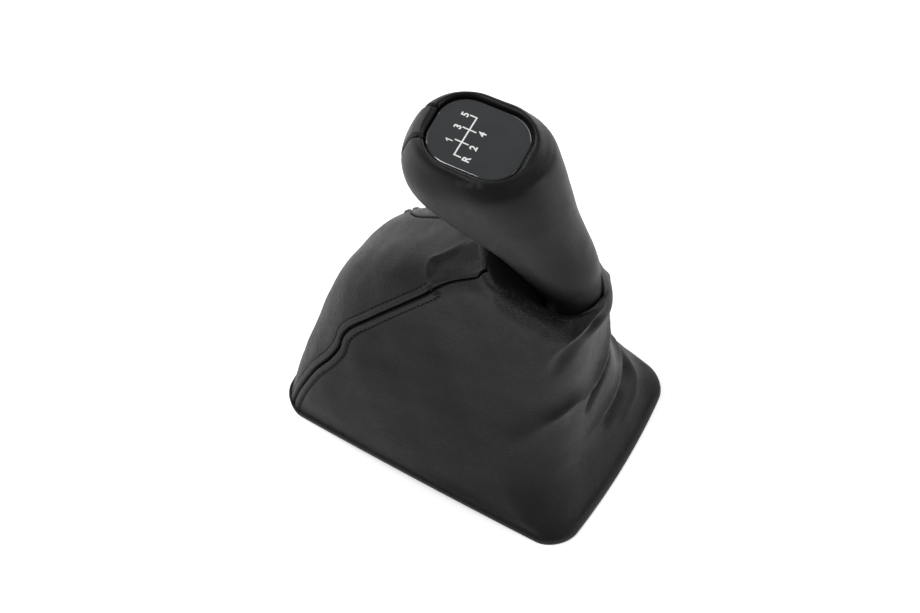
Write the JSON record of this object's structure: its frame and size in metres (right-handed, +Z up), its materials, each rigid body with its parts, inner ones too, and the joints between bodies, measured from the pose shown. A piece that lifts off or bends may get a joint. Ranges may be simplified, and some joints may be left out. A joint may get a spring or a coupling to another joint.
{
  "type": "gear lever gaiter",
  "caption": "Black leather gear lever gaiter on an arched plastic frame, tied under a leather-covered shift knob with a glossy plate let into its top.",
  "frame": {"origin": "on the surface the frame stands on, under the middle of the frame", "axes": "+X towards the rear of the car, +Y to its right, +Z up; the lever leans towards -X"},
  "size_m": [0.1572, 0.114, 0.1932],
  "materials": {
    "bag_leather": "satin, fine grain",
    "grip_leather": "satin, worn smooth",
    "frame_plastic": "matte",
    "core_plastic": "matte",
    "bush_plastic": "matte",
    "tie_nylon": "satin",
    "plate_gloss": "glossy",
    "pad_foam": "matte foam",
    "staple_steel": "bright wire"
  },
  "bodies": {
    "root": {"base_frame": "frame_plastic", "gaiter_side_panel": "bag_leather", "gaiter_front_panel": "bag_leather", "knob_core": "core_plastic", "knob_cover": "grip_leather", "knob_front_strip": "grip_leather", "lever_bush": "bush_plastic", "neck_collar": "frame_plastic", "neck_tie": "tie_nylon", "shift_plate": "plate_gloss", "plate_pad": "pad_foam", "staple_01": "staple_steel", "staple_02": "staple_steel", "staple_03": "staple_steel", "staple_04": "staple_steel", "staple_05": "staple_steel", "staple_06": "staple_steel", "staple_07": "staple_steel", "staple_08": "staple_steel", "staple_09": "staple_steel", "staple_10": "staple_steel"}
  },
  "joints": []
}
